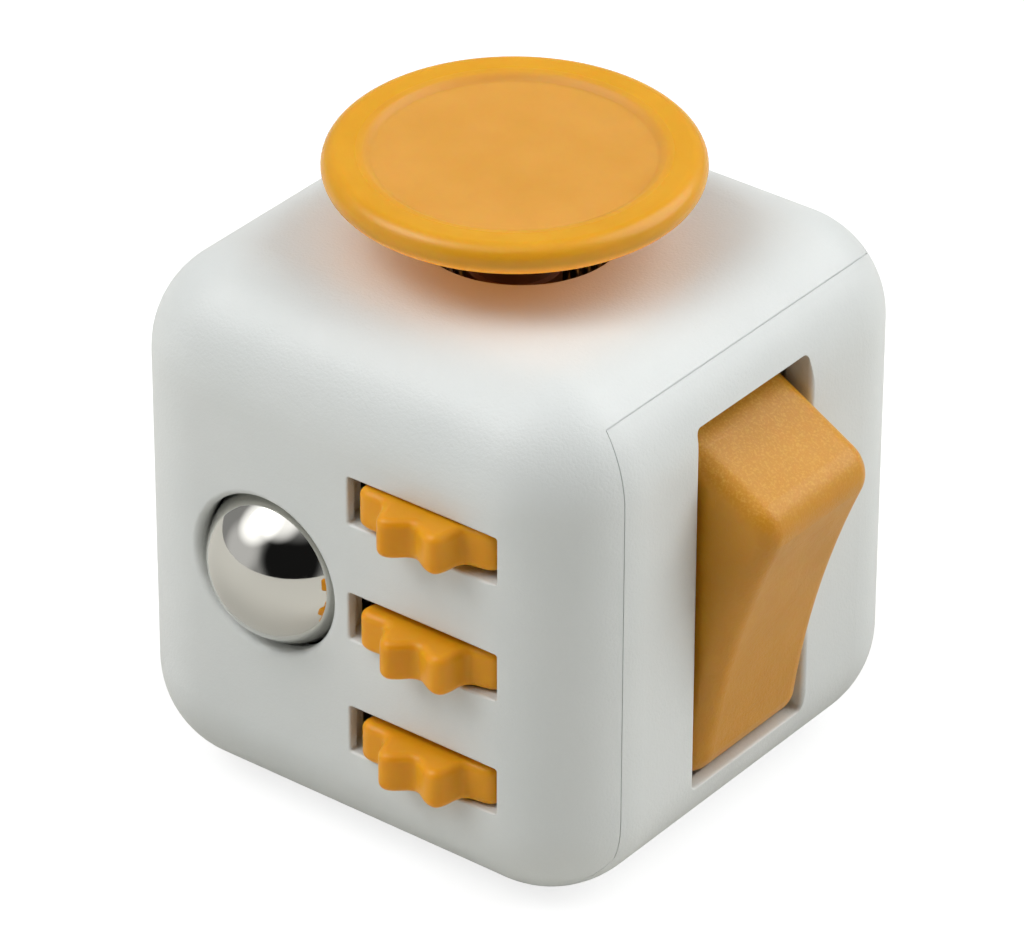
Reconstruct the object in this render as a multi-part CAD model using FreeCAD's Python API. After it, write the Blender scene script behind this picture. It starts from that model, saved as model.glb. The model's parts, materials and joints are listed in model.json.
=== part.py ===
"""Fidget cube: a 33 mm cube of two three-faced shells with a fidget on every face.

Millimetres. The origin is the centre of the bottom face and +Z is up. The front face (-Y) has the
ball and the three gears, the right face (+X) the rocker, the top face the gliding disc, the left
face five buttons, the back face the spinning dial, and the bottom face a thumb dimple.
Each sub-part is written to parts/NAME.step.
"""
import FreeCAD, Part
import math
import os

from FreeCAD import Vector

# Housing
CUBE = 33.0
EDGE_R = 6.3
WALL = 1.8
SEAM_GAP_DEG = 0.6          # width of the groove along the seam
SEAM_DEPTH = 0.09           # of that groove; behind it the shells' edges meet
SEAM_TOP_DEG = 46.0        # round the rounding of each top edge, from the top face
SEAM_FRONT_DEG = 75.3      # round the front right edge, from the front face
SEAM_LEFT_DEG = 46.0       # round the left back edge, from the left face
SEAM_BOTTOM_DEG = 60.0     # round the two bottom seam edges, from the upright face
POST_R = 1.4
POST_AT = 12.3
POST_ROOT = 2.1             # from the outer face to the buried end of a post
POST_JOINT = 4.6            # from the outer face to the joint of a post
PEG_R = 0.7
PEG_LENGTH = 1.4
SKIN = 0.9                  # least plastic left between a screw's tip and the outer face
BURIED = 0.5                # how far a boss runs into the wall that it grows from

# Screws: all of one size, with pan heads sunk into what they hold
SCREW_R = 0.6
SCREW_HEAD_R = 1.1
SCREW_HEAD = 0.6
BOSS_R = 1.5

# Glide (top face)
GLIDE_HOLE_R = 5.7
GLIDE_TRAVEL = 2.2
GLIDE_REST = Vector(-0.2, -0.3, 0)     # where its springs leave the disc, off the face's centre
CAP_SAG_DEG = 2.0                      # the cap sits slightly out of true on its stem
CAP_SAG_WAY = Vector(0.61, -0.79, 0)   # towards its low side
DISC_R = 10.75
DISC_MID_Z = 37.45
DISC_THICK = 1.9
CROWN_WIDTH = 1.25          # of the gently falling top of the rim
CROWN_FALL = 0.08
LIP_WIDTH = 0.65            # of the step from the rim down to the dish
DISH_DEPTH = 0.42
STEM_R = 2.3
STEM_SQUARE = 4.4
STEM_TOP_Z = 37.0
STEM_COLLAR = 0.4           # collar that the springs push on, beyond the stem
COLLAR_TOP_Z = 31.0
CAP_BOSS = 0.9              # wall and 1.0 deep, round the stem under the cap
GUIDE_HALF = (9.2, 8.6)
GUIDE_HOLE_R = 6.9
GUIDE_LOW_Z = 29.2
GUIDE_SCREW_AT = (7.9, 7.2)
GUIDE_SCREW_TIP = CUBE - 0.6
RAIL_HALF = 6.6
RAIL_WIDTH = 1.2
LEDGE_WIDTH = 1.0
CROSS_X = 5.4
CROSS_Y = 6.2
CROSS_Z = (27.7, 28.9)
RETAINER_HALF = (4.0, 2.8)
RETAINER_Z = (26.6, 27.5)
GLIDE_SPRING_Z = 30.15
GLIDE_SPRING_R = 0.65
GLIDE_WIRE_R = 0.14
GLIDE_TURNS = 6

# Roll (front face)
BALL_AT = Vector(-5.2, -13.7, 16.6)
BALL_R = 5.05
BALL_HOLE_R = 4.85
BALL_HOLE_LIP = 0.4
CUP_R = 5.4
GEAR_X = 6.1
GEAR_Y = -13.7
GEAR_PITCH = 7.5
GEAR_MID_Z = 16.28
GEAR_R = 5.16
GEAR_ROOT_R = 4.13
GEAR_LOBES = 9
GEAR_THICK = 2.5
GEAR_RIM_R = 0.48
GEAR_HUB_R = 0.85
GEAR_TURN = (-1.133, -1.085, -1.135)   # radians from +X to a lobe, top gear first
GEAR_RISE = (0.15, -0.15, -0.15)       # where the play on its axle has left each gear in its slot
AXLE_R = 0.5
SLOT_X = (0.83, 11.15)
SLOT_HEIGHT = 3.0
SLOT_CORNER = 0.15
SLOT_LIP = 0.15
SLOT_RELIEF = (0.6, 0.5)    # outer wall left full, and how much wider the slot is behind it
ARM_HALF = 0.8
END_ARM = 1.0
BALL_PLATE_Y = (-6.6, -5.4)
GEAR_PLATE_Y = (-7.7, -6.5)
BALL_PLATE_X = (-10.8, 1.4)
GEAR_PLATE_X = (0.6, 9.4)
COLLAR_FRONT_Y = -10.6
COLLAR_WALL = 0.52
ARM_WIDTH = 3.6
ARM_FRONT_Y = -14.3
BALL_BOSS_X = -8.0
BALL_BOSS_Z = (8.6, 24.2)
GEAR_BOSS_X = 10.2
GEAR_TAB_X = 8.8
ROLL_SCREW = 4.0            # length of a screw beyond the plate
GEAR_SPRING_X = (2.4, 9.2)
GEAR_SPRING_HALF = 1.0
LEAF = 0.15

# Flip (right face)
PIVOT_X = 10.0
PIVOT_Z = 16.9
FLIP_TILT_DEG = 15.6
ROCKER_HALF = 4.95
ROCKER_EDGE_R = 1.3
NOSE_AT = (7.0, 8.15)       # centre of each nose, outward from the pivot and along the rocker
NOSE_R = 2.05
NOSE_SWEEP_DEG = (-4.0, 74.4)
ROCKER_END = (1.5, 11.55)
FACE_SAG = 0.55
POCKET_OUT = (-5.0, 6.9)
POCKET_ALONG = (2.8, 9.3)
POCKET_WALL = 1.2
ROCKER_HUB_R = 2.6
OPENING_Y = (-5.3, 5.1)      # the rocker stands nearer to its rear side
OPENING_HALF_Z = 11.8
OPENING_CORNER = 0.4
OPENING_LIP = 0.3
OPENING_RELIEF = 0.6
PIN_R = 1.0
CHEEK_Y = (5.25, 6.15)
CHEEK_TIP_X = 3.0
CHEEK_TIP_Z = (13.0, 20.8)
CHEEK_Z = (8.0, 25.8)
FLIP_FOOT_X = (11.3, 12.5)
FLIP_FOOT_Y = 8.8
FLIP_FOOT_Z = (9.2, 24.6)
FLIP_FOOT_HALF = 1.2
DETENT_X = (2.2, 6.0)
DETENT_Z = (12.2, 21.6)
DETENT_R = 6.3
PLUNGER_R = 1.0
PLUNGER_GAP = 0.12          # from the plunger's tip to the detent's arc
WELL_DEEP = 1.6             # floor of the plunger's well, inward from the pivot
BARREL_END = 4.0

# Click (left face)
BUTTON_R = 2.35
BUTTON_PITCH = 7.0
BUTTON_TALL = 2.8
BUTTON_CROWN_R = 1.0
BUTTON_LOW = 1.6
BUTTON_FLANGE_R = 3.1
BUTTON_FLANGE_X = (-14.4, -13.8)
CLICK_BASE_X = (-12.4, -11.5)
CLICK_BOSS_AT = 8.5
CLICK_HALF = (10.0, 10.3)
CLICK_CORNER = 1.5
CLICK_DOME_R = 2.3
CLICK_GAP = 0.05            # between a dome or pad and its button
PAD_R = (2.2, 1.4)          # at the base and under the button
PAD_WALL = 0.5

# Spin (back face)
DIAL_R = 9.0
DIAL_Y = (16.8, 19.2)
DIAL_EDGE_R = 0.7
DIAL_RIM = 1.4
DIAL_DISH = 0.35
DIAL_HUB_R = 2.2
DIAL_NUB_R = 1.7
DIAL_NUB_AT = 6.2
DIAL_NUB_HIGH = 1.6
DIAL_NUB_CROWN_R = 1.0
WASHER_R = 3.6
WASHER_Y = (-1.0, -0.3)     # from the wall's inner face

# Bottom face
DIMPLE_HALF_X = 9.0
DIMPLE_HALF_Y = 7.0
DIMPLE_DEPTH = 2.5
DIMPLE_RIM_DEPTH = 1.0      # of the wider, shallower dimple that softens the rim
DIMPLE_RIM_WIDER = 0.6

HALF = CUBE / 2
MID = CUBE / 2
INNER = HALF - WALL
FLAT = HALF - EDGE_R
TOP_FLAT_Z = CUBE - EDGE_R
FAR = 40.0
RUN = 0.05                  # radial clearance of a running fit
X, Y, Z = Vector(1, 0, 0), Vector(0, 1, 0), Vector(0, 0, 1)


# ---------------------------------------------------------------- shape helpers
def box(x, y, z):
    """Block from three (low, high) pairs."""
    return Part.makeBox(x[1] - x[0], y[1] - y[0], z[1] - z[0], Vector(x[0], y[0], z[0]))


def rod(radius, start, end):
    """Round bar between two points."""
    axis = end - start
    return Part.makeCylinder(radius, axis.Length, start, axis)


def prism(points, axis, low, high):
    """Outline extruded along one axis; the points are in the other two, in X, Y, Z order."""
    place = {
        "x": lambda a, b: Vector(low, a, b),
        "y": lambda a, b: Vector(a, low, b),
        "z": lambda a, b: Vector(a, b, low),
    }[axis]
    along = {"x": X, "y": Y, "z": Z}[axis]
    wire = Part.makePolygon([place(a, b) for a, b in points + points[:1]])
    return Part.Face(wire).extrude(along * (high - low))


def fuse(shapes):
    return shapes[0].multiFuse(shapes[1:]).removeSplitter()


def group(shapes):
    return Part.makeCompound(shapes)


def turned(profile, start, axis):
    """Closed profile of (radius, height) points turned about an axis through start."""
    wire = Part.makePolygon([Vector(r, 0, h) for r, h in profile + profile[:1]])
    solid = Part.Face(wire).revolve(Vector(), Z, 360)
    return moved(solid, start, axis)


def moved(shape, start, axis):
    """Shape made about +Z at the origin, put at start with +Z along axis."""
    place = FreeCAD.Placement(start, FreeCAD.Rotation(Z, axis))
    shape.Placement = place.multiply(shape.Placement)
    return shape


def lipped_bore(radius, lip, depth, mouth, outward):
    """Cutter for a bore with a rounded lip; mouth is on the outer face, outward is its normal."""
    flare = Part.makeCylinder(radius + lip, lip, Vector(0, 0, -lip))
    flare = flare.cut(Part.makeTorus(radius + lip, lip, Vector(0, 0, -lip)))
    bore = Part.makeCylinder(radius, depth + 1, Vector(0, 0, -depth))
    return moved(bore.fuse(flare), mouth, outward)


def lipped_window(half, corner, lip, depth, mouth, outward):
    """Cutter for a window with round corners and a rounded lip; half is its half width and height."""
    pieces = []
    for u in (corner - half[0], half[0] - corner):
        for v in (corner - half[1], half[1] - corner):
            pieces.append(lipped_bore(corner, lip, depth, Vector(u, v, 0), Z))
    for side, reach in enumerate(half):
        straight = half[1 - side] - corner
        spans = [(-straight, straight), (-straight, straight)]
        spans[side] = (-reach, reach)
        pieces.append(box(spans[0], spans[1], (-depth, 1)))
        spans[side] = (-reach - lip, reach + lip)
        flare = box(spans[0], spans[1], (-lip, 0))
        along = (Y, X)[side]
        for edge in (-reach - lip, reach + lip):
            middle = (X, Y)[side] * edge - Z * lip
            flare = flare.cut(rod(lip, middle - along * FAR, middle + along * FAR))
        pieces.append(flare)
    return moved(fuse(pieces), mouth, outward)


def screw(head_top, tip):
    """Screw whose head's flat top is centred at head_top."""
    along = (tip - head_top).normalize()
    neck = head_top + along * SCREW_HEAD
    return rod(SCREW_HEAD_R, head_top, neck).fuse(rod(SCREW_R, neck, tip))


def coil(radius, wire_r, length, turns, start, axis):
    """Coil spring along an axis, with its ends at start and start + length."""
    pitch = (length - 2 * wire_r) / turns
    path = Part.Wire(Part.makeHelix(pitch, pitch * turns, radius).Edges)
    section = Part.Wire(Part.makeCircle(wire_r, Vector(radius, 0, 0), Y))
    spring = path.makePipeShell([section], True, True)
    spring.translate(Vector(0, 0, wire_r))
    return moved(spring, start, axis)


# ---------------------------------------------------------------- housing
def rounded_cube(size, radius):
    half = size / 2
    block = box((-half, half), (-half, half), (MID - half, MID + half))
    return block.makeFillet(radius, block.Edges)


def spoke(degrees):
    """Far end of a seam plane, as (across, along) the face it is measured from."""
    angle = math.radians(degrees)
    return FAR * math.sin(angle), FAR * math.cos(angle)


def back_region(gap):
    """Space of the shell with the right, back and bottom faces, widened by gap degrees."""
    down, out = spoke(SEAM_TOP_DEG - gap)
    under_top = [(FLAT, TOP_FLAT_Z), (FLAT + down, TOP_FLAT_Z + out), (2 * FAR, -FAR), (FLAT, -FAR)]
    side, ahead = spoke(SEAM_FRONT_DEG - gap)
    behind_front = [(FLAT, -FLAT), (FLAT + side, -FLAT - ahead), (2 * FAR, FAR), (FLAT, FAR)]
    right = prism(under_top, "y", -FAR, FAR).common(prism(behind_front, "z", -FAR, 2 * FAR))
    across, out = spoke(SEAM_LEFT_DEG - gap)
    off_left = [(-FLAT, FLAT), (-FLAT - out, FLAT + across), (FAR, 2 * FAR), (FAR, FLAT)]
    back = prism(under_top, "x", -FAR, FAR).common(prism(off_left, "z", -FAR, 2 * FAR))
    fall, out = spoke(SEAM_BOTTOM_DEG - gap)
    below = [(-FLAT, EDGE_R), (-FLAT - out, EDGE_R - fall), (FAR, -FAR), (FAR, EDGE_R)]
    bottom = prism(below, "x", -FAR, FAR).common(prism(below, "y", -FAR, FAR))
    return fuse([right, back, bottom])


def dimple_form(half_x, half_y, depth, extra=0.0):
    """Lemon-shaped solid that presses an oval dimple into the bottom face, grown by extra."""
    long_r = (half_x ** 2 + depth ** 2) / (2 * depth)
    short_r = (half_y ** 2 + depth ** 2) / (2 * depth)
    reach = math.sqrt((long_r + extra) ** 2 - (long_r - short_r) ** 2)
    ends = Vector(-reach, 0, 0), Vector(reach, 0, 0)
    arc = Part.Arc(ends[0], Vector(0, 0, short_r + extra), ends[1]).toShape()
    outline = Part.Wire([arc, Part.makeLine(ends[1], ends[0])])
    lemon = Part.Face(outline).revolve(Vector(), X, 360)
    lemon.translate(Vector(0, 0, depth - short_r))
    return lemon


def peg_post(x, y, root_z, joint_z):
    """Post from a shell's wall to its joint, with the peg that enters the other shell."""
    reach = math.copysign(PEG_LENGTH, joint_z - root_z)
    post = rod(POST_R, Vector(x, y, root_z), Vector(x, y, joint_z))
    return post.fuse(rod(PEG_R, Vector(x, y, joint_z), Vector(x, y, joint_z + reach)))


def socket(x, y, joint_z, root_z):
    """Boss that meets a peg post, and the hole for the peg."""
    reach = math.copysign(PEG_LENGTH, root_z - joint_z)
    boss = rod(POST_R, Vector(x, y, root_z), Vector(x, y, joint_z))
    return boss, rod(PEG_R, Vector(x, y, joint_z), Vector(x, y, joint_z + reach))


def gear_heights():
    return [GEAR_MID_Z + step * GEAR_PITCH for step in (1, 0, -1)]


def front_cutters():
    """Ball hole and gear slots."""
    mouth = Vector(BALL_AT.x, -HALF, BALL_AT.z)
    cutters = [lipped_bore(BALL_HOLE_R, BALL_HOLE_LIP, WALL, mouth, -Y)]
    cutters.append(Part.makeSphere(BALL_R + 0.15, BALL_AT))
    half = ((SLOT_X[1] - SLOT_X[0]) / 2, SLOT_HEIGHT / 2)
    skin, wider = SLOT_RELIEF
    for z in gear_heights():
        mouth = Vector((SLOT_X[0] + SLOT_X[1]) / 2, -HALF, z)
        cutters.append(lipped_window(half, SLOT_CORNER, SLOT_LIP, WALL + 1, mouth, -Y))
        cutters.append(box((SLOT_X[0] - wider, SLOT_X[1] + wider), (-HALF + skin, -INNER + 1),
                           (z - half[1], z + half[1])))
    return cutters


def click_places():
    """Button name, Y, Z and height above the face."""
    low, high = MID - BUTTON_PITCH, MID + BUTTON_PITCH
    return [
        ("lower_front", -BUTTON_PITCH, low, BUTTON_TALL),
        ("upper_front", -BUTTON_PITCH, high, BUTTON_LOW),
        ("centre", 0.0, MID, BUTTON_TALL),
        ("lower_back", BUTTON_PITCH, low, BUTTON_LOW),
        ("upper_back", BUTTON_PITCH, high, BUTTON_TALL),
    ]


def click_boss_places():
    return [(0.0, MID + CLICK_BOSS_AT), (0.0, MID - CLICK_BOSS_AT), (CLICK_BOSS_AT, MID)]


def roll_boss_places():
    """X, Z and the plate's front face for each screw of the roll bracket."""
    heights = gear_heights()
    between = [(heights[0] + heights[1]) / 2, (heights[1] + heights[2]) / 2]
    ball_side = [(BALL_BOSS_X, z, BALL_PLATE_Y) for z in BALL_BOSS_Z]
    return ball_side + [(GEAR_BOSS_X, z, GEAR_PLATE_Y) for z in between]


def flip_boss_places():
    return [(y, z) for y in (-FLIP_FOOT_Y, FLIP_FOOT_Y) for z in FLIP_FOOT_Z]


def guide_screw_places():
    across, along = GUIDE_SCREW_AT
    return [(x, y) for x in (-across, across) for y in (-along, along)]


def seam_groove():
    """Cutter for the shallow groove that the front shell's edge leaves beside the back shell's."""
    skin = rounded_cube(CUBE, EDGE_R).cut(rounded_cube(CUBE - 2 * SEAM_DEPTH, EDGE_R - SEAM_DEPTH))
    return skin.common(back_region(SEAM_GAP_DEG)).cut(back_region(0))


def shell_front(walls):
    """Front, top and left faces, with the bosses for the glide, the roll and the click."""
    shell = walls.cut([back_region(0), seam_groove()])
    extras = [peg_post(-POST_AT, -POST_AT, CUBE - POST_ROOT, POST_JOINT)]
    cutters = front_cutters()
    for x in (-POST_AT, POST_AT):
        boss, hole = socket(x, POST_AT, CUBE - POST_JOINT, CUBE - POST_ROOT)
        extras.append(boss)
        cutters.append(hole)
    for y, z in click_boss_places():
        extras.append(rod(BOSS_R, Vector(-INNER - BURIED, y, z), Vector(CLICK_BASE_X[0], y, z)))
        cutters.append(rod(SCREW_R, Vector(SKIN - HALF, y, z), Vector(0, y, z)))
    for x, z, plate in roll_boss_places():
        extras.append(rod(BOSS_R, Vector(x, -INNER - BURIED, z), Vector(x, plate[0], z)))
        cutters.append(rod(SCREW_R, Vector(x, plate[0] - ROLL_SCREW, z), Vector(x, 0, z)))
    for x, y in guide_screw_places():
        cutters.append(rod(SCREW_R, Vector(x, y, GUIDE_SCREW_TIP), Vector(x, y, GUIDE_LOW_Z)))
    cutters.append(lipped_bore(GLIDE_HOLE_R, 0.3, WALL, Vector(0, 0, CUBE), Z))
    for _, y, z, _ in click_places():
        cutters.append(lipped_bore(BUTTON_R + 0.15, 0.25, WALL, Vector(-HALF, y, z), -X))
    return fuse([shell] + extras).cut([walls.common(back_region(0))] + cutters)


def rocker_opening():
    """Cutters for the rocker's opening, wider inside so that its ends can swing."""
    low, high = PIVOT_Z - OPENING_HALF_Z, PIVOT_Z + OPENING_HALF_Z
    half = (OPENING_HALF_Z, (OPENING_Y[1] - OPENING_Y[0]) / 2)
    mouth = Vector(HALF, (OPENING_Y[0] + OPENING_Y[1]) / 2, PIVOT_Z)
    opening = lipped_window(half, OPENING_CORNER, OPENING_LIP, WALL + 4, mouth, X)
    relief = box((INNER - 4, HALF - 1.0), OPENING_Y, (low - OPENING_RELIEF, high + OPENING_RELIEF))
    return [opening, relief]


def shell_back(walls):
    """Right, back and bottom faces, with the bosses for the flip."""
    shell = walls.common(back_region(0))
    pad = dimple_form(DIMPLE_HALF_X, DIMPLE_HALF_Y, DIMPLE_DEPTH, WALL)
    pad = pad.common(box((-FAR, FAR), (-FAR, FAR), (0.9, FAR)))
    boss, hole = socket(-POST_AT, -POST_AT, POST_JOINT, POST_ROOT)
    extras = [pad, boss]
    cutters = rocker_opening() + [hole, dimple_form(DIMPLE_HALF_X, DIMPLE_HALF_Y, DIMPLE_DEPTH)]
    cutters.append(dimple_form(DIMPLE_HALF_X + DIMPLE_RIM_WIDER, DIMPLE_HALF_Y + DIMPLE_RIM_WIDER,
                               DIMPLE_RIM_DEPTH))
    for x in (-POST_AT, POST_AT):
        extras.append(peg_post(x, POST_AT, POST_ROOT, CUBE - POST_JOINT))
    for y, z in flip_boss_places():
        extras.append(rod(BOSS_R, Vector(INNER + BURIED, y, z), Vector(FLIP_FOOT_X[1], y, z)))
        cutters.append(rod(SCREW_R, Vector(0, y, z), Vector(HALF - SKIN, y, z)))
    cutters.append(lipped_bore(DIAL_HUB_R + RUN, 0.2, WALL, Vector(0, HALF, MID), Y))
    return fuse([shell] + extras).cut([walls.cut(back_region(0))] + cutters)


# ---------------------------------------------------------------- glide, top face
def disc_section():
    """Section of the disc: round edge, broad crown, a step down, and a shallow dish."""
    half = DISC_THICK / 2
    edge = DISC_R - half
    top = []
    for step in range(7):
        share = step / 6
        top.append(Vector(edge - CROWN_WIDTH * share, 0, half - CROWN_FALL * share ** 2))
    drop = DISH_DEPTH - CROWN_FALL
    for step in range(1, 9):
        share = step / 8
        fall = drop * (1 - math.cos(math.pi * share)) / 2
        top.append(Vector(edge - CROWN_WIDTH - LIP_WIDTH * share, 0, half - CROWN_FALL - fall))
    crown = Part.BSplineCurve()
    crown.interpolate(top)
    dish = Vector(0, 0, half - DISH_DEPTH)
    low = Vector(edge, 0, -half)
    return Part.Wire([
        Part.makeLine(Vector(0, 0, -half), low),
        Part.Arc(low, Vector(DISC_R, 0, 0), top[0]).toShape(),
        crown.toShape(),
        Part.makeLine(top[-1], dish),
        Part.makeLine(dish, Vector(0, 0, -half)),
    ])


def glide_cap():
    """Disc with a boss under it, a little out of true on its upright stem."""
    disc = Part.Face(disc_section()).revolve(Vector(), Z, 360)
    boss = rod(STEM_R + CAP_BOSS, Vector(0, 0, -DISC_THICK / 2 - 1), Vector(0, 0, -DISC_THICK / 2))
    cap = disc.fuse(boss)
    cap.rotate(Vector(), Z.cross(CAP_SAG_WAY), CAP_SAG_DEG)
    cap.translate(Z * DISC_MID_Z)
    cap = cap.cut(rod(STEM_R, Z * GUIDE_LOW_Z, Z * STEM_TOP_Z))
    return moved(cap, GLIDE_REST, Z)


def glide_stem():
    half = STEM_SQUARE / 2
    foot_top = GUIDE_LOW_Z + 0.2
    foot = box((-half, half), (-half, half), (RETAINER_Z[1], foot_top))
    stem = rod(STEM_R, Z * foot_top, Z * STEM_TOP_Z)
    collar = rod(STEM_R + STEM_COLLAR, Z * foot_top, Z * COLLAR_TOP_Z)
    stem = fuse([stem, collar, foot]).cut(rod(SCREW_R, Vector(), Z * (COLLAR_TOP_Z + 1)))
    return moved(stem, GLIDE_REST, Z)


def glide_cross_slide():
    """Plate that slides along X in the guide and lets the stem slide along Y."""
    half = STEM_SQUARE / 2 + RUN
    slot = half + GLIDE_TRAVEL + 0.15
    middle = GLIDE_REST.x
    plate = box((middle - CROSS_X, middle + CROSS_X), (-CROSS_Y, CROSS_Y), CROSS_Z)
    return plate.cut(box((middle - half, middle + half), (-slot, slot), (0, FAR)))


def glide_retainer():
    across, along = RETAINER_HALF
    plate = box((-across, across), (-along, along), RETAINER_Z)
    return moved(plate.cut(rod(SCREW_R, Vector(), Z * FAR)), GLIDE_REST, Z)


def glide_guide():
    """Frame under the top face: rails for the cross slide and a ring for the springs."""
    across, along = GUIDE_HALF
    plate = box((-across, across), (-along, along), (GUIDE_LOW_Z, CUBE - WALL))
    plate = plate.cut(rod(GUIDE_HOLE_R, Vector(), Z * FAR))
    low, ledge_top = RETAINER_Z[0] - 0.2, CROSS_Z[0] - 0.2
    inner = CROSS_Y + RUN
    rail = box((-RAIL_HALF, RAIL_HALF), (inner, inner + RAIL_WIDTH), (low, GUIDE_LOW_Z))
    ledge = box((-RAIL_HALF, RAIL_HALF), (inner - LEDGE_WIDTH, inner), (low, ledge_top))
    rail = rail.fuse(ledge)
    frame = fuse([plate, rail, rail.mirror(Vector(), Y)])
    cutters = []
    for x, y in guide_screw_places():
        place = Vector(x, y, 0)
        cutters.append(rod(SCREW_HEAD_R, place, place + Z * (GUIDE_LOW_Z + SCREW_HEAD)))
        cutters.append(rod(SCREW_R, place, place + Z * FAR))
    return frame.cut(cutters)


def glide_guide_screws():
    places = guide_screw_places()
    return group([screw(Vector(x, y, GUIDE_LOW_Z), Vector(x, y, GUIDE_SCREW_TIP)) for x, y in places])


def glide_screw():
    head = Z * (RETAINER_Z[0] - SCREW_HEAD)
    return moved(screw(head, Z * (COLLAR_TOP_Z + 0.5)), GLIDE_REST, Z)


def glide_springs():
    """Four coils between the stem's collar and the guide's ring, lying on the diagonals."""
    inner = STEM_R + STEM_COLLAR + 0.15
    outer = GUIDE_HOLE_R - 0.15
    springs = []
    for quarter in range(4):
        angle = math.radians(45 + 90 * quarter)
        way = Vector(math.cos(angle), math.sin(angle), 0)
        start = GLIDE_REST + way * inner + Z * GLIDE_SPRING_Z
        reach = way * outer + Z * GLIDE_SPRING_Z - start
        springs.append(coil(GLIDE_SPRING_R, GLIDE_WIRE_R, reach.Length, GLIDE_TURNS, start, reach))
    return group(springs)


# ---------------------------------------------------------------- roll, front face
def ball():
    return Part.makeSphere(BALL_R, BALL_AT)


def ball_cup():
    front = Vector(BALL_AT.x, BALL_AT.y + 1.5, BALL_AT.z)
    back = Vector(BALL_AT.x, BALL_AT.y + BALL_R + 0.65, BALL_AT.z)
    return rod(CUP_R, front, back).cut(Part.makeSphere(BALL_R + RUN, BALL_AT))


def dome(radius, height, start, axis, thick=0.12):
    """Pressed metal dome with its rim at start and its crown along axis."""
    size = (radius ** 2 + height ** 2) / (2 * height)
    centre = Vector(0, 0, height - size)
    shell = Part.makeSphere(size, centre).cut(Part.makeSphere(size - thick, centre))
    shell = shell.common(Part.makeCylinder(radius, height, Vector()))
    return moved(shell, start, axis)


def ball_dome():
    return dome(3.4, 1.25, Vector(BALL_AT.x, BALL_PLATE_Y[0], BALL_AT.z), -Y)


def arm_spans():
    """Z spans of the four arms that carry the gear axle, top arm first."""
    heights = gear_heights()
    half = GEAR_THICK / 2 + 0.2
    top = (heights[0] + half, heights[0] + half + END_ARM)
    bottom = (heights[2] - half - END_ARM, heights[2] - half)
    middles = [(heights[0] + heights[1]) / 2, (heights[1] + heights[2]) / 2]
    return [top] + [(z - ARM_HALF, z + ARM_HALF) for z in middles] + [bottom]


def roll_bracket():
    """Plate behind the ball, a stepped plate behind the gears, and four arms for the axle."""
    spans = arm_spans()
    low, high = spans[-1][0], spans[0][1]
    behind_ball = Vector(BALL_AT.x, BALL_PLATE_Y[0], BALL_AT.z)
    collar_front = Vector(BALL_AT.x, COLLAR_FRONT_Y, BALL_AT.z)
    bore = CUP_R + 0.08
    collar = rod(bore + COLLAR_WALL, collar_front, behind_ball)
    pieces = [
        box(BALL_PLATE_X, BALL_PLATE_Y, (low, high - 0.4)),
        box(GEAR_PLATE_X, GEAR_PLATE_Y, (low, high)),
        collar.cut(rod(bore, collar_front, behind_ball)),
    ]
    arm = (GEAR_X - ARM_WIDTH / 2, GEAR_X + ARM_WIDTH / 2)
    for span in spans:
        pieces.append(box(arm, (ARM_FRONT_Y, GEAR_PLATE_Y[0]), span))
    for x, z, plate in roll_boss_places()[2:]:
        pieces.append(box((GEAR_TAB_X, x + BOSS_R), plate, (z - BOSS_R, z + BOSS_R)))
    cutters = [rod(AXLE_R, Vector(GEAR_X, GEAR_Y, 0), Vector(GEAR_X, GEAR_Y, CUBE))]
    for x, z, plate in roll_boss_places():
        cutters.append(rod(SCREW_HEAD_R, Vector(x, 0, z), Vector(x, plate[1] - SCREW_HEAD, z)))
        cutters.append(rod(SCREW_R, Vector(x, -HALF, z), Vector(x, 0, z)))
    return fuse(pieces).cut(cutters)


def roll_screws():
    places = roll_boss_places()
    return group([screw(Vector(x, p[1], z), Vector(x, p[0] - ROLL_SCREW, z)) for x, z, p in places])


def gear_axle():
    spans = arm_spans()
    return rod(AXLE_R, Vector(GEAR_X, GEAR_Y, spans[-1][0]), Vector(GEAR_X, GEAR_Y, spans[0][1]))


def lobed_outline(turn, z):
    """Closed smooth outline with rounded lobes, one of them at the angle turn."""
    middle = (GEAR_R + GEAR_ROOT_R) / 2
    swing = (GEAR_R - GEAR_ROOT_R) / 2
    count = GEAR_LOBES * 8
    points = []
    for step in range(count):
        angle = 2 * math.pi * step / count
        radius = middle + swing * math.cos(GEAR_LOBES * (angle - turn))
        points.append(Vector(radius * math.cos(angle), radius * math.sin(angle), z))
    curve = Part.BSplineCurve()
    curve.interpolate(points, PeriodicFlag=True)
    return Part.Wire(curve.toShape())


def gear(index):
    """Lobed wheel with its hub reaching from arm to arm."""
    z = gear_heights()[index]
    spans = arm_spans()
    hub = (spans[index + 1][1] + 0.1, spans[index][0] - 0.1)
    half = GEAR_THICK / 2
    wheel = Part.Face(lobed_outline(GEAR_TURN[index], -half)).extrude(Z * GEAR_THICK)
    rims = [edge for edge in wheel.Edges if edge.Length > 2 * GEAR_R]
    wheel = wheel.makeFillet(GEAR_RIM_R, rims)
    wheel.translate(Vector(GEAR_X, GEAR_Y, z + GEAR_RISE[index]))
    centre = Vector(GEAR_X, GEAR_Y, 0)
    wheel = wheel.fuse(rod(GEAR_HUB_R, centre + Z * hub[0], centre + Z * hub[1]))
    return wheel.cut(rod(AXLE_R + RUN, centre, centre + Z * CUBE))


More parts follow.
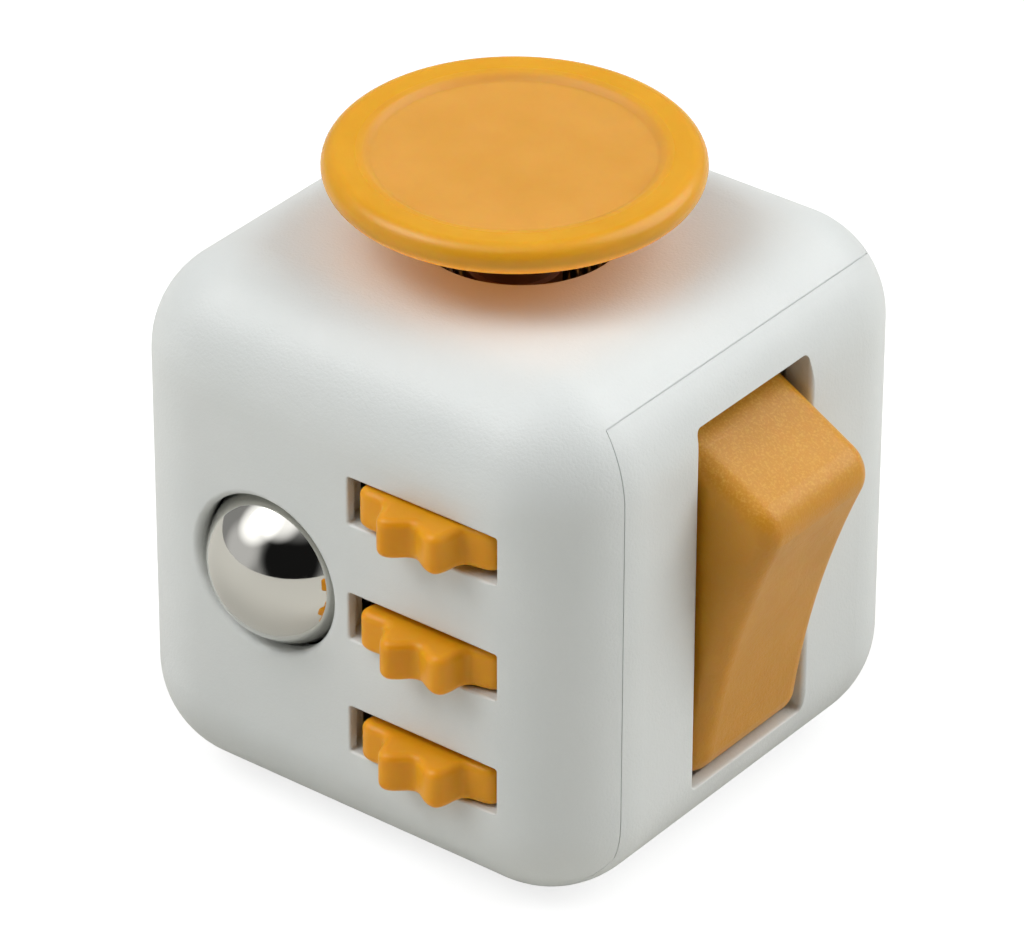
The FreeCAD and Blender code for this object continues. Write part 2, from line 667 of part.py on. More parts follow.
def gear_spring(index):
    """Leaf spring whose nose sits between two lobes of its gear."""
    z = gear_heights()[index]
    valley = GEAR_TURN[index] + 3.5 * 2 * math.pi / GEAR_LOBES
    nose = GEAR_X + GEAR_ROOT_R * math.cos(valley)
    tip = GEAR_Y + GEAR_ROOT_R + 0.35
    back = GEAR_PLATE_Y[0]
    left, right = GEAR_SPRING_X
    foot, flat = 1.1, 0.2       # half widths of the nose at the plate and at its tip
    front = [(left, back - LEAF), (nose - foot, back - LEAF), (nose - flat, tip)]
    front += [(nose + flat, tip), (nose + foot, back - LEAF), (right, back - LEAF)]
    foot, flat = foot - 0.08, flat - 0.1
    rear = [(right, back), (nose + foot, back), (nose + flat, tip + LEAF)]
    rear += [(nose - flat, tip + LEAF), (nose - foot, back), (left, back)]
    return prism(front + rear, "z", z - GEAR_SPRING_HALF, z + GEAR_SPRING_HALF)


# ---------------------------------------------------------------- flip, right face
def rocker_profile():
    """Points (outward, along) round one nose of the rocker and down to its end."""
    start, end = NOSE_SWEEP_DEG
    nose = []
    for step in range(9):
        angle = math.radians(start + (end - start) * step / 8)
        out = NOSE_AT[0] + NOSE_R * math.cos(angle)
        nose.append(Vector(out, NOSE_AT[1] + NOSE_R * math.sin(angle), 0))
    return nose + [Vector(ROCKER_END[0], ROCKER_END[1], 0)]


def rocker_section():
    """Outline of the rocker in its own frame, pivot at the origin and X outward."""
    upper = rocker_profile()
    lower = [Vector(p.x, -p.y, 0) for p in upper]
    hollow = Part.Arc(lower[0], Vector(upper[0].x - FACE_SAG, 0, 0), upper[0])
    sides = [hollow.toShape(), Part.makeLine(upper[-1], lower[-1])]
    for half in (upper, lower):
        nose = Part.BSplineCurve()
        nose.interpolate(half[:-1])
        sides += [nose.toShape(), Part.makeLine(half[-2], half[-1])]
    return Part.Wire(Part.__sortEdges__(sides))


def on_rocker(shape):
    """From the rocker's own frame (outward, along, across) to the cube's, at the resting tilt."""
    frame = FreeCAD.Placement(Vector(PIVOT_X, 0, PIVOT_Z), FreeCAD.Rotation(X, Z, -Y, "ZXY"))
    tilt = FreeCAD.Placement(Vector(), FreeCAD.Rotation(Z, -FLIP_TILT_DEG))
    shape.Placement = frame.multiply(tilt).multiply(shape.Placement)
    return shape


def is_rim(edge):
    """True for the front and end edges along the rocker's two sides."""
    on_side = all(abs(abs(vertex.Z) - ROCKER_HALF) < 0.01 for vertex in edge.Vertexes)
    return on_side and edge.BoundBox.XMax > ROCKER_END[0] + 0.1


def flip_rocker():
    """Rocker with soft edges, hollow behind each nose, and a barrel for the plunger."""
    body = Part.Face(rocker_section()).extrude(Z * 2 * ROCKER_HALF)
    body.translate(-Z * ROCKER_HALF)
    body = body.makeFillet(ROCKER_EDGE_R, [edge for edge in body.Edges if is_rim(edge)])
    across = (POCKET_WALL - ROCKER_HALF, ROCKER_HALF - POCKET_WALL)
    near, far = POCKET_ALONG
    body = body.cut([box(POCKET_OUT, (near, far), across), box(POCKET_OUT, (-far, -near), across)])
    hub = rod(ROCKER_HUB_R, -Z * ROCKER_HALF, Z * ROCKER_HALF)
    web = box((0, 3), (-ROCKER_HUB_R, ROCKER_HUB_R), (-ROCKER_HALF, ROCKER_HALF))
    barrel = rod(PLUNGER_R + 1, Vector(), -X * BARREL_END)
    bore = rod(PIN_R + RUN, -Z * FAR, Z * FAR)
    well = rod(PLUNGER_R + RUN, -X * WELL_DEEP, -X * FAR)
    return on_rocker(fuse([body, hub, web, barrel]).cut([bore, well]))


def flip_plunger():
    """Round-nosed plunger that rides on the detent plate."""
    nose = -X * (DETENT_R - PLUNGER_GAP - PLUNGER_R)
    shank = rod(PLUNGER_R, -X * 2.9, nose)
    return on_rocker(shank.fuse(Part.makeSphere(PLUNGER_R, nose)))


def flip_spring():
    return on_rocker(coil(0.7, 0.12, 1.2, 3, -X * (WELL_DEEP + 0.05), -X))


def flip_bracket():
    """Two cheeks for the pin, joined by the curved detent plate, with four feet."""
    low, high = CHEEK_Z
    foot, face = FLIP_FOOT_X
    tip_low, tip_high = CHEEK_TIP_Z
    outline = [(CHEEK_TIP_X, tip_low), (CHEEK_TIP_X, tip_high), (foot, high), (face, high),
               (face, low), (foot, low)]
    pivot = Vector(PIVOT_X, 0, PIVOT_Z)
    detent = box(DETENT_X, (-CHEEK_Y[1], CHEEK_Y[1]), DETENT_Z)
    pieces = [detent.cut(rod(DETENT_R, pivot - Y * FAR, pivot + Y * FAR))]
    for side in (-1, 1):
        pieces.append(prism(outline, "y", *sorted((side * CHEEK_Y[0], side * CHEEK_Y[1]))))
        reach = sorted((side * CHEEK_Y[0], side * (FLIP_FOOT_Y + BOSS_R)))
        for z in FLIP_FOOT_Z:
            pieces.append(box(FLIP_FOOT_X, reach, (z - FLIP_FOOT_HALF, z + FLIP_FOOT_HALF)))
    cutters = [rod(PIN_R, pivot - Y * FAR, pivot + Y * FAR)]
    for side in (-1, 1):
        angle = math.radians(180 + side * FLIP_TILT_DEG)
        seat = pivot + Vector(math.cos(angle), 0, math.sin(angle)) * (DETENT_R - PLUNGER_R + 0.35)
        cutters.append(rod(PLUNGER_R + 0.1, seat - Y * 2, seat + Y * 2))
    for y, z in flip_boss_places():
        cutters.append(rod(SCREW_HEAD_R, Vector(0, y, z), Vector(foot + SCREW_HEAD, y, z)))
        cutters.append(rod(SCREW_R, Vector(0, y, z), Vector(FAR, y, z)))
    return fuse(pieces).cut(cutters)


def flip_screws():
    places = flip_boss_places()
    return group([screw(Vector(FLIP_FOOT_X[0], y, z), Vector(HALF - SKIN, y, z)) for y, z in places])


def flip_pin():
    pivot = Vector(PIVOT_X, 0, PIVOT_Z)
    return rod(PIN_R, pivot - Y * CHEEK_Y[1], pivot + Y * CHEEK_Y[1])


# ---------------------------------------------------------------- click, left face
def button(y, z, height):
    """Round-topped button with the flange that keeps it in."""
    outer = HALF + height
    cap = rod(BUTTON_R, Vector(BUTTON_FLANGE_X[1], y, z), Vector(-outer, y, z))
    crown = [edge for edge in cap.Edges if edge.BoundBox.XMax < -outer + 0.01]
    cap = cap.makeFillet(BUTTON_CROWN_R, crown)
    flange = rod(BUTTON_FLANGE_R, Vector(BUTTON_FLANGE_X[0], y, z), Vector(BUTTON_FLANGE_X[1], y, z))
    return cap.fuse(flange)


def click_space():
    """Height between the base plate and the buttons' flanges."""
    return CLICK_BASE_X[0] - BUTTON_FLANGE_X[1] - CLICK_GAP


def click_dome(y, z):
    return dome(CLICK_DOME_R, click_space(), Vector(CLICK_BASE_X[0], y, z), -X)


def click_pad(y, z):
    """Soft silicone cone under a silent button."""
    base = Vector(CLICK_BASE_X[0], y, z)
    wide, narrow = PAD_R
    cone = Part.makeCone(wide, narrow, click_space(), base, -X)
    inside = Part.makeCone(wide - PAD_WALL, narrow - PAD_WALL, click_space() - 0.4, base, -X)
    return cone.cut(inside)


def click_base():
    across, up = CLICK_HALF
    plate = box(CLICK_BASE_X, (-across, across), (MID - up, MID + up))
    corners = [edge for edge in plate.Edges if abs(edge.tangentAt(edge.FirstParameter).x) > 0.9]
    plate = plate.makeFillet(CLICK_CORNER, corners)
    return plate.cut([rod(SCREW_R, Vector(-HALF, y, z), Vector(0, y, z)) for y, z in click_boss_places()])


def click_screws():
    head = CLICK_BASE_X[1] + SCREW_HEAD
    tip = SKIN - HALF
    return group([screw(Vector(head, y, z), Vector(tip, y, z)) for y, z in click_boss_places()])


# ---------------------------------------------------------------- spin, back face
def spin_dial():
    """Dished dial with a nub for the finger and a hub through the back wall."""
    low, high = DIAL_Y
    start = Vector(0, 0, MID)
    disc = rod(DIAL_R, start + Y * low, start + Y * high)
    rims = [edge for edge in disc.Edges if edge.Length > 2 * DIAL_R and edge.Closed]
    disc = disc.makeFillet(DIAL_EDGE_R, rims)
    disc = disc.cut(rod(DIAL_R - DIAL_RIM, start + Y * (high - DIAL_DISH), start + Y * FAR))
    nub_at = Vector(0, 0, MID + DIAL_NUB_AT)
    crown_y = high + DIAL_NUB_HIGH
    nub = rod(DIAL_NUB_R, nub_at + Y * (high - DIAL_DISH - 0.2), nub_at + Y * crown_y)
    nub = nub.makeFillet(DIAL_NUB_CROWN_R, [e for e in nub.Edges if e.BoundBox.YMin > crown_y - 0.1])
    hub = rod(DIAL_HUB_R, start + Y * (INNER + WASHER_Y[1]), start + Y * (low + 0.5))
    return fuse([disc, nub, hub]).cut(rod(SCREW_R, start, start + Y * (high - 0.8)))


def spin_washer():
    start = Vector(0, 0, MID)
    ring = rod(WASHER_R, start + Y * (INNER + WASHER_Y[0]), start + Y * (INNER + WASHER_Y[1]))
    return ring.cut(rod(SCREW_R, start, start + Y * FAR))


def spin_screw():
    head = Vector(0, INNER + WASHER_Y[0] - SCREW_HEAD, MID)
    return screw(head, Vector(0, DIAL_Y[1] - 0.8, MID))


# ---------------------------------------------------------------- all sub-parts
def all_parts():
    walls = rounded_cube(CUBE, EDGE_R).cut(rounded_cube(CUBE - 2 * WALL, EDGE_R - WALL))
    parts = {
        "shell_front": shell_front(walls),
        "shell_back": shell_back(walls),
        "glide_cap": glide_cap(),
        "glide_stem": glide_stem(),
        "glide_cross_slide": glide_cross_slide(),
        "glide_retainer": glide_retainer(),
        "glide_screw": glide_screw(),
        "glide_guide": glide_guide(),
        "glide_guide_screws": glide_guide_screws(),
        "glide_springs": glide_springs(),
        "ball": ball(),
        "ball_cup": ball_cup(),
        "ball_dome": ball_dome(),
        "roll_bracket": roll_bracket(),
        "roll_screws": roll_screws(),
        "gear_axle": gear_axle(),
        "flip_rocker": flip_rocker(),
        "flip_plunger": flip_plunger(),
        "flip_spring": flip_spring(),
        "flip_bracket": flip_bracket(),
        "flip_screws": flip_screws(),
        "flip_pin": flip_pin(),
        "click_base": click_base(),
        "click_screws": click_screws(),
        "spin_dial": spin_dial(),
        "spin_washer": spin_washer(),
        "spin_screw": spin_screw(),
    }
    for index, name in enumerate(("top", "middle", "bottom")):
        parts["gear_" + name] = gear(index)
        parts["gear_spring_" + name] = gear_spring(index)
    for name, y, z, height in click_places():
        parts["button_" + name] = button(y, z, height)
        if height == BUTTON_TALL:
            parts["click_dome_" + name] = click_dome(y, z)
        else:
            parts["click_pad_" + name] = click_pad(y, z)
    return parts


def main():
    os.makedirs("parts", exist_ok=True)
    for name, shape in all_parts().items():
        valid = shape.isValid() and shape.Volume > 0
        print(f"{name:26s} solids {len(shape.Solids)}  volume {shape.Volume:9.2f}  valid {valid}")
        shape.exportStep(f"parts/{name}.step")


main()
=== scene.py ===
"""Looks for the fidget cube: materials, floor, sky and camera round the CAD frame.

Everything is in metres, in the CAD frame: the front face with the ball is -Y, the rocker +X, the disc +Z.
"""

import json
import math

import bpy
from mathutils import Matrix, Vector


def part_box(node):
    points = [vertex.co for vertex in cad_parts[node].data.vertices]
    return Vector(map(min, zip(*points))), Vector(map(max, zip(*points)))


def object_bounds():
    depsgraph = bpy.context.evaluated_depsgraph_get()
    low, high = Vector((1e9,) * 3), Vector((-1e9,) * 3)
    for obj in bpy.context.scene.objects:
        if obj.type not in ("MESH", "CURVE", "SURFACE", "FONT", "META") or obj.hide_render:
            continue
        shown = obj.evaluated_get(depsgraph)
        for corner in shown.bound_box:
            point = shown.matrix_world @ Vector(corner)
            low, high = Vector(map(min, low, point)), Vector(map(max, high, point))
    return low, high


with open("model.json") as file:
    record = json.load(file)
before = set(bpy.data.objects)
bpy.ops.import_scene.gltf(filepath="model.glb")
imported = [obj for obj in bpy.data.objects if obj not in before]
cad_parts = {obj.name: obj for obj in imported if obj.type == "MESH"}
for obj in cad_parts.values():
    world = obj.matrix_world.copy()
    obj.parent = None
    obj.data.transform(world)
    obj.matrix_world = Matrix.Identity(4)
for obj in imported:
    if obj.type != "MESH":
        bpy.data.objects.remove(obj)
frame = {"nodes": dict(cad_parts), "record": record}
nodes = frame["nodes"]
cad_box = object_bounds()

MM = 0.001

# The camera, as fitted to the cube: a long lens from the upper right of the front face
CAMERA_AZIMUTH = math.radians(37.65)
CAMERA_ELEVATION = math.radians(31.8)
CAMERA_ROLL = math.radians(0.22)
CAMERA_DISTANCE = 0.3938
CAMERA_LENS = 243.3
CAMERA_SHIFT = (-0.0074, 0.0105)
CAMERA_SENSOR = 36.0
CUBE_MIDDLE = (0, 0, 16.5 * MM)

# Colours, linear; a pair holds the two near tints that the colour of a moulding wanders between
BODY = ((0.70, 0.73, 0.72, 1), (0.73, 0.755, 0.745, 1))
AMBER = ((0.74, 0.315, 0.006, 1), (0.80, 0.355, 0.012, 1))
# Rocker: an amber darker than that of the disc and the gears
DARKER_AMBER = ((0.57, 0.25, 0.008, 1), (0.63, 0.285, 0.015, 1))
RING = ((0.69, 0.33, 0.010, 1), (0.75, 0.37, 0.018, 1))
DISH = ((0.66, 0.31, 0.042, 1), (0.70, 0.34, 0.056, 1))
# Stem: dark brown, a painted shade of the amber stem that sits in the disc's shadow
STEM_PAINTED_SHADE = ((0.10, 0.045, 0.02, 1), (0.14, 0.06, 0.03, 1))
DARK_ACETAL = ((0.02, 0.02, 0.022, 1), (0.035, 0.035, 0.038, 1))
GREY_PLASTIC = ((0.42, 0.43, 0.43, 1), (0.48, 0.49, 0.49, 1))
SILICONE = ((0.60, 0.60, 0.58, 1), (0.66, 0.66, 0.64, 1))
# Painted glints: pale tint of the specks painted on the rocker's upward face, standing in for light
# sparkling on its grain
PAINTED_GLINT_TINT = (0.76, 0.43, 0.06, 1)
# Painted glow: colour of the light that the disc's underside gives off onto the top face
PAINTED_GLOW_COLOUR = (1.0, 0.29, 0.0, 1)
CHROME = (0.66, 0.65, 0.61, 1)
STEEL = (0.56, 0.56, 0.57, 1)
SPRING_STEEL = (0.20, 0.19, 0.18, 1)
WHITE = (1, 1, 1, 1)

# Noise, given in features per metre: the stretch of its values over which a look changes
NOISE_SPAN = (0.3, 0.7)

# Plastics: refractive index, how far red, green and blue spread inside, and amber's share of such light
PLASTIC_IOR = 1.5
WHITE_SPREAD = (1.0, 0.95, 0.9)
AMBER_SPREAD = (1.0, 0.40, 0.08)
AMBER_SHARE = 0.6

# Scratches: their slant in radians, features per metre across and along them, and their depth
SCRATCH_TURN = (0.5, 0.35, 0.9)
SCRATCH_SCALE = (4200.0, 150.0, 900.0)
SCRATCH_SPAN = (0.66, 0.74)
SCRATCH_STRENGTH = 0.6
SCRATCH_DEPTH = 0.012 * MM

# Gliding disc: its axis at rest, the edge of its dish, and a painted glow on its underside that stands in
# for light coming through the amber
cap_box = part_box("glide_cap")
DISC_AXIS = [(low + high) / 2 for low, high in zip(*cap_box)]
DISH_R = 8.25 * MM
DISH_EDGE = (DISH_R - 0.4 * MM, DISH_R + 0.6 * MM)
DISH_ROUGH = 0.48
RING_ROUGH = 0.27
DISC_LOW = cap_box[1][2] - 2.25 * MM
PAINTED_GLOW_FADE = 0.5 * MM
PAINTED_UNDERGLOW = 0.29

# Studio: an even sky, and on it (azimuth, elevation, half angle, softness) in degrees with a level
SKY_BASE = 0.30
SKY = (
    (-48, 49, 25, 8, 1.1),      # soft box, upper left of the front
    (-48, 50, 13, 6, 4.2),      # its hot middle
    (-10, 66, 20, 9, 0.95),     # dimmer, wider box above the front
    (140, 39, 26, 7, 2.95),     # larger box, behind on the right
    (60, 82, 30, 12, 0.20),     # weak box overhead
    (-42, 14, 24, 10, 0.35),    # pale wall on the left of the camera
    (112, 14, 22, 10, 0.24),    # pale wall on the right
    (33, 23, 39, 8, -0.29),     # dark wall behind the camera
)
FLOOR_GLOW = 0.78
FLOOR_SHOWS = (0.34, 0.34, 0.34, 1)
FLOOR_REFLECTS = (0.66, 0.65, 0.61, 1)
FLOOR_ROUGH = 0.7
FLOOR_GLOSS = 0.1
FLOOR_SIZE = 4.0
REFLECTOR_DROP = 0.2 * MM


# ---------------------------------------------------------------- material helpers
def new_material(name):
    """Material with its node tree and the shader in it."""
    material = bpy.data.materials.new(name)
    material.use_nodes = True
    tree = material.node_tree
    return material, tree, tree.nodes["Principled BSDF"]


def node(tree, kind, **inputs):
    """New node of a kind, with some of its inputs set."""
    made = tree.nodes.new(kind)
    for key, value in inputs.items():
        made.inputs[key.replace("_", " ")].default_value = value
    return made


def noise(tree, scale, detail=2.0, roughness=0.5):
    """Noise in the object's own space; scale is in features per metre."""
    place = tree.nodes.new("ShaderNodeTexCoord")
    made = node(tree, "ShaderNodeTexNoise", Scale=scale, Detail=detail, Roughness=roughness)
    tree.links.new(place.outputs["Object"], made.inputs["Vector"])
    return made.outputs["Fac"]


def mottle(tree, tints, scale, detail):
    """Colour that wanders between two near tints."""
    made = tree.nodes.new("ShaderNodeValToRGB")
    for stop, position, colour in zip(made.color_ramp.elements, NOISE_SPAN, tints):
        stop.position = position
        stop.color = colour
    tree.links.new(noise(tree, scale, detail=detail), made.inputs["Fac"])
    return made.outputs["Color"]


def span(tree, source, low, high, start=0.0, end=1.0):
    """Number that runs from low to high as source goes from start to end."""
    made = tree.nodes.new("ShaderNodeMapRange")
    made.inputs["From Min"].default_value = start
    made.inputs["From Max"].default_value = end
    made.inputs["To Min"].default_value = low
    made.inputs["To Max"].default_value = high
    tree.links.new(source, made.inputs["Value"])
    return made.outputs["Result"]


def polish(tree, shader, scale, detail, rough, reach=NOISE_SPAN):
    """Roughness that wanders between two values."""
    wander = span(tree, noise(tree, scale, detail=detail), *rough, *reach)
    tree.links.new(wander, shader.inputs["Roughness"])


def bump(tree, shader, source, height):
    """Bump of a real height in metres."""
    made = node(tree, "ShaderNodeBump", Strength=1.0, Distance=height)
    tree.links.new(source, made.inputs["Height"])
    tree.links.new(made.outputs["Normal"], shader.inputs["Normal"])
    return made


def colour_mix(tree, share, first):
    """Mix node of two colours that starts from first; the other one goes to its input B."""
    made = tree.nodes.new("ShaderNodeMix")
    made.data_type = "RGBA"
    tree.links.new(share, made.inputs["Factor"])
    tree.links.new(first, made.inputs["A"])
    return made


def coordinate(tree, output, axis):
    """One component of a texture coordinate output."""
    place = tree.nodes.new("ShaderNodeTexCoord")
    split = tree.nodes.new("ShaderNodeSeparateXYZ")
    tree.links.new(place.outputs[output], split.inputs["Vector"])
    return split.outputs[axis]


# ---------------------------------------------------------------- materials
def translucent(shader, share, spread, depth):
    """Plastic that lets light spread inside it, to a depth in metres."""
    shader.inputs["IOR"].default_value = PLASTIC_IOR
    shader.inputs["Subsurface Weight"].default_value = share
    shader.inputs["Subsurface Radius"].default_value = spread
    shader.inputs["Subsurface Scale"].default_value = depth


def grain(tree, shader, coarse, fine, height, lumps):
    """Moulded grain: fine pits on a coarser orange peel, as a bump of a real height in metres."""
    sum_up = tree.nodes.new("ShaderNodeMath")
    sum_up.operation = "MULTIPLY_ADD"
    sum_up.inputs[1].default_value = lumps
    tree.links.new(noise(tree, coarse, detail=1.0), sum_up.inputs[0])
    tree.links.new(noise(tree, fine, detail=3.0, roughness=0.6), sum_up.inputs[2])
    return bump(tree, shader, sum_up.outputs["Value"], height)


def white_plastic():
    """Satin white moulding with the fine spark-eroded grain of its tool."""
    material, tree, shader = new_material("white_plastic")
    tree.links.new(mottle(tree, BODY, scale=110.0, detail=3.0), shader.inputs["Base Color"])
    polish(tree, shader, scale=900.0, detail=3.0, rough=(0.34, 0.44))
    translucent(shader, share=0.12, spread=WHITE_SPREAD, depth=0.6 * MM)
    grain(tree, shader, coarse=1500.0, fine=6000.0, height=0.024 * MM, lumps=0.4)
    return material


def amber_plastic(name, tints, rough, height, gloss, scratches_and_glints=False):
    """Slightly translucent amber moulding; the grain's height is in metres."""
    material, tree, shader = new_material(name)
    tint = mottle(tree, tints, scale=220.0, detail=4.0)
    if scratches_and_glints:
        # Painted glints on the face that looks up
        tint = painted_glint_specks(tree, tint)
    tree.links.new(tint, shader.inputs["Base Color"])
    polish(tree, shader, scale=500.0, detail=2.0, rough=rough, reach=(0.2, 0.8))
    shader.inputs["Specular IOR Level"].default_value = gloss
    translucent(shader, share=AMBER_SHARE, spread=AMBER_SPREAD, depth=0.9 * MM)
    pits = grain(tree, shader, coarse=1300.0, fine=6200.0, height=height, lumps=0.6)
    if scratches_and_glints:
        add_scratches(tree, shader, pits)
    return material


def disc_plastic():
    """Amber of the gliding disc: a duller dish inside a glossy ring, and a painted orange glow on its
    underside that stands in for light coming through.
    """
    material, tree, shader = new_material("amber_cap")
    axis = tree.nodes.new("ShaderNodeMapping")
    axis.inputs["Location"].default_value = (-DISC_AXIS[0], -DISC_AXIS[1], 0)
    axis.inputs["Scale"].default_value = (1, 1, 0)
    place = tree.nodes.new("ShaderNodeTexCoord")
    tree.links.new(place.outputs["Object"], axis.inputs["Vector"])
    radius = tree.nodes.new("ShaderNodeVectorMath")
    radius.operation = "LENGTH"
    tree.links.new(axis.outputs["Vector"], radius.inputs[0])
    ring = span(tree, radius.outputs["Value"], 0.0, 1.0, *DISH_EDGE)
    tint = colour_mix(tree, ring, mottle(tree, DISH, scale=260.0, detail=4.0))
    tree.links.new(mottle(tree, RING, scale=220.0, detail=4.0), tint.inputs["B"])
    tree.links.new(tint.outputs["Result"], shader.inputs["Base Color"])
    tree.links.new(span(tree, ring, DISH_ROUGH, RING_ROUGH), shader.inputs["Roughness"])
    shader.inputs["Specular IOR Level"].default_value = 0.35
    translucent(shader, share=AMBER_SHARE, spread=AMBER_SPREAD, depth=1.2 * MM)
    # Painted glow: emission on the disc's underside, fading out upwards, that throws orange light onto
    # the top face below it
    glow = span(tree, coordinate(tree, "Object", "Z"), PAINTED_UNDERGLOW, 0.0, DISC_LOW, DISC_LOW + PAINTED_GLOW_FADE)
    shader.inputs["Emission Color"].default_value = PAINTED_GLOW_COLOUR
    tree.links.new(glow, shader.inputs["Emission Strength"])
    grain(tree, shader, coarse=1300.0, fine=5200.0, height=0.006 * MM, lumps=0.6)
    return material


def painted_glint_specks(tree, tint):
    """Painted glints: fine pale pinpricks painted into the colour on the face that looks up, standing in
    for light sparkling on the grain.
    """
    share = span(tree, coordinate(tree, "Normal", "Z"), low=0.0, high=0.55, start=0.1, end=0.6)
    specks = noise(tree, 6500.0, detail=2.0, roughness=0.6)
    spots = span(tree, specks, low=0.0, high=1.0, start=0.48, end=0.66)
    amount = tree.nodes.new("ShaderNodeMath")
    amount.operation = "MULTIPLY"
    tree.links.new(share, amount.inputs[0])
    tree.links.new(spots, amount.inputs[1])
    mix = colour_mix(tree, amount.outputs["Value"], tint)
    mix.inputs["B"].default_value = PAINTED_GLINT_TINT
    return mix.outputs["Result"]


def add_scratches(tree, shader, below):
    """Hairline scratches along one slanted direction, laid over the bump below."""
    place = tree.nodes.new("ShaderNodeTexCoord")
    turn = tree.nodes.new("ShaderNodeMapping")
    turn.inputs["Rotation"].default_value = SCRATCH_TURN
    turn.inputs["Scale"].default_value = SCRATCH_SCALE
    lines = node(tree, "ShaderNodeTexNoise", Scale=1.0, Detail=1.0)
    tree.links.new(place.outputs["Object"], turn.inputs["Vector"])
    tree.links.new(turn.outputs["Vector"], lines.inputs["Vector"])
    cut = span(tree, lines.outputs["Fac"], 1.0, 0.0, *SCRATCH_SPAN)
    over = node(tree, "ShaderNodeBump", Strength=SCRATCH_STRENGTH, Distance=SCRATCH_DEPTH)
    tree.links.new(cut, over.inputs["Height"])
    tree.links.new(below.outputs["Normal"], over.inputs["Normal"])
    tree.links.new(over.outputs["Normal"], shader.inputs["Normal"])


def chrome():
    """Polished plating with a faint haze of handling."""
    material, tree, shader = new_material("chrome")
    shader.inputs["Metallic"].default_value = 1.0
    shader.inputs["Base Color"].default_value = CHROME
    polish(tree, shader, scale=1500.0, detail=4.0, rough=(0.03, 0.08), reach=(0.35, 0.7))
    bump(tree, shader, noise(tree, 420.0, detail=1.0), 0.004 * MM)
    return material


def metal(name, colour, rough):
    """Plain metal whose polish is finely uneven."""
    material, tree, shader = new_material(name)
    shader.inputs["Metallic"].default_value = 1.0
    shader.inputs["Base Color"].default_value = colour
    polish(tree, shader, scale=2500.0, detail=4.0, rough=rough)
    bump(tree, shader, noise(tree, 5000.0), 0.004 * MM)
    return material


def dull_plastic(name, tints, rough):
    """Matt plastic or rubber of one roughness all over."""
    material, tree, shader = new_material(name)
    tree.links.new(mottle(tree, tints, scale=700.0, detail=3.0), shader.inputs["Base Color"])
    shader.inputs["Roughness"].default_value = rough
    bump(tree, shader, noise(tree, 5000.0), 0.006 * MM)
    return material


def finish_nodes():
    """Gives every CAD node its material: a special one, or else that of its slot."""
    made = {
        "white_plastic": white_plastic(),
        "amber_plastic": amber_plastic("amber_plastic", AMBER, (0.30, 0.38), 0.004 * MM, gloss=0.25),
        "chrome": chrome(),
        "dark_acetal": dull_plastic("dark_acetal", DARK_ACETAL, rough=0.45),
        "grey_plastic": dull_plastic("grey_plastic", GREY_PLASTIC, rough=0.5),
        "steel": metal("steel", STEEL, rough=(0.22, 0.36)),
        "spring_steel": metal("spring_steel", SPRING_STEEL, rough=(0.28, 0.40)),
        "silicone": dull_plastic("silicone", SILICONE, rough=0.6),
    }
    special = {
        # Rocker: darker amber, painted glints on its upward face, and scratches
        "flip_rocker": amber_plastic("amber_rocker_scratches_painted_glints", DARKER_AMBER, (0.34, 0.42), 0.030 * MM, gloss=0.42, scratches_and_glints=True),
        # Stem: dark brown as painted shade of the amber stem under the disc
        "glide_stem": dull_plastic("stem_painted_shade", STEM_PAINTED_SHADE, rough=0.4),
        "glide_cap": disc_plastic(),
    }
    for part in frame["record"]["subparts"]:
        mesh = nodes[part["node"]].data
        mesh.materials.clear()
        mesh.materials.append(special.get(part["node"], made[part["material_slot"]]))


# ---------------------------------------------------------------- stage
def add_plane(name, drop, colour, glow):
    """Stage plane at drop below the cube's foot."""
    bpy.ops.mesh.primitive_plane_add(size=FLOOR_SIZE, location=(0, 0, cad_box[0][2] - drop))
    plane = bpy.context.object
    plane.name = name
    material, tree, shader = new_material(name)
    shader.inputs["Base Color"].default_value = colour
    shader.inputs["Roughness"].default_value = FLOOR_ROUGH
    shader.inputs["Specular IOR Level"].default_value = FLOOR_GLOSS
    shader.inputs["Emission Color"].default_value = WHITE
    shader.inputs["Emission Strength"].default_value = glow
    plane.data.materials.append(material)
    return plane


def add_floor():
    """Table seen as white but for a faint shadow at the cube's foot; as a reflector it is pale grey."""
    seen = add_plane("floor", 0.0, FLOOR_SHOWS, FLOOR_GLOW)
    seen.visible_diffuse = False
    seen.visible_glossy = False
    seen.visible_transmission = False
    seen.visible_shadow = False
    reflector = add_plane("floor_reflector", REFLECTOR_DROP, FLOOR_REFLECTS, 0.0)
    reflector.visible_camera = False


def direction(azimuth, elevation):
    """Unit vector; azimuth in degrees from -Y towards +X, elevation in degrees above the floor."""
    turn, rise = math.radians(azimuth), math.radians(elevation)
    return math.sin(turn) * math.cos(rise), -math.cos(turn) * math.cos(rise), math.sin(rise)


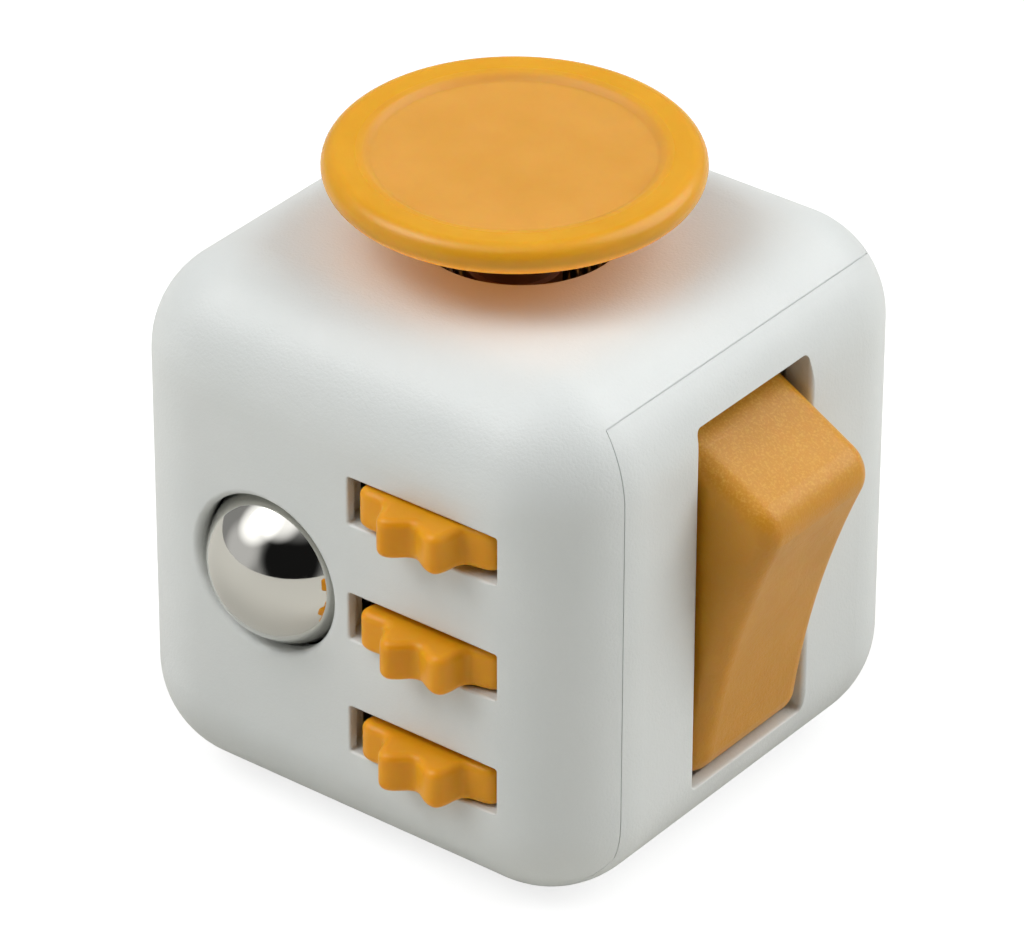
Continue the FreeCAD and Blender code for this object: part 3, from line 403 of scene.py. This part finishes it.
def sky_patch(tree, place, azimuth, elevation, half_angle, soft):
    """1 inside a round patch of the sky, falling smoothly to 0 round its edge."""
    near = tree.nodes.new("ShaderNodeVectorMath")
    near.operation = "DOT_PRODUCT"
    near.inputs[1].default_value = direction(azimuth, elevation)
    tree.links.new(place.outputs["Generated"], near.inputs[0])
    edge = tree.nodes.new("ShaderNodeMapRange")
    edge.interpolation_type = "SMOOTHSTEP"
    edge.inputs["From Min"].default_value = math.cos(math.radians(half_angle + soft))
    edge.inputs["From Max"].default_value = math.cos(math.radians(half_angle - soft))
    tree.links.new(near.outputs["Value"], edge.inputs["Value"])
    return edge.outputs["Result"]


def add_world():
    """Studio of soft boxes painted on the sky: radiance is a sum of smooth round patches."""
    world = bpy.data.worlds.new("studio")
    world.use_nodes = True
    tree = world.node_tree
    place = tree.nodes.new("ShaderNodeTexCoord")
    total = None
    for azimuth, elevation, half_angle, soft, level in SKY:
        patch = sky_patch(tree, place, azimuth, elevation, half_angle, soft)
        mix = tree.nodes.new("ShaderNodeMath")
        mix.operation = "MULTIPLY_ADD"
        mix.inputs[1].default_value = level
        tree.links.new(patch, mix.inputs[0])
        if total is None:
            mix.inputs[2].default_value = SKY_BASE
        else:
            tree.links.new(total, mix.inputs[2])
        total = mix.outputs["Value"]
    tree.links.new(total, tree.nodes["Background"].inputs["Strength"])
    tree.nodes["Background"].inputs["Color"].default_value = WHITE
    bpy.context.scene.world = world


def add_camera():
    """Looks at the cube's middle; the lens shift only frames it as a product shot."""
    azimuth, elevation = CAMERA_AZIMUTH, CAMERA_ELEVATION
    back = Vector((
        math.sin(azimuth) * math.cos(elevation),
        -math.cos(azimuth) * math.cos(elevation),
        math.sin(elevation),
    ))
    right = Vector((math.cos(azimuth), math.sin(azimuth), 0))
    up = back.cross(right)
    turn = Matrix((right, up, back)).transposed().to_4x4()
    roll = Matrix.Rotation(CAMERA_ROLL, 4, "Z")
    data = bpy.data.cameras.new("camera")
    data.lens = CAMERA_LENS
    data.sensor_width = CAMERA_SENSOR
    data.shift_x, data.shift_y = CAMERA_SHIFT
    data.clip_start = 0.01
    camera = bpy.data.objects.new("camera", data)
    place = Vector(CUBE_MIDDLE) + back * CAMERA_DISTANCE
    camera.matrix_world = Matrix.Translation(place) @ turn @ roll
    bpy.context.scene.collection.objects.link(camera)
    bpy.context.scene.camera = camera


finish_nodes()
add_floor()
add_world()
add_camera()
bpy.context.scene.view_settings.view_transform = "Standard"
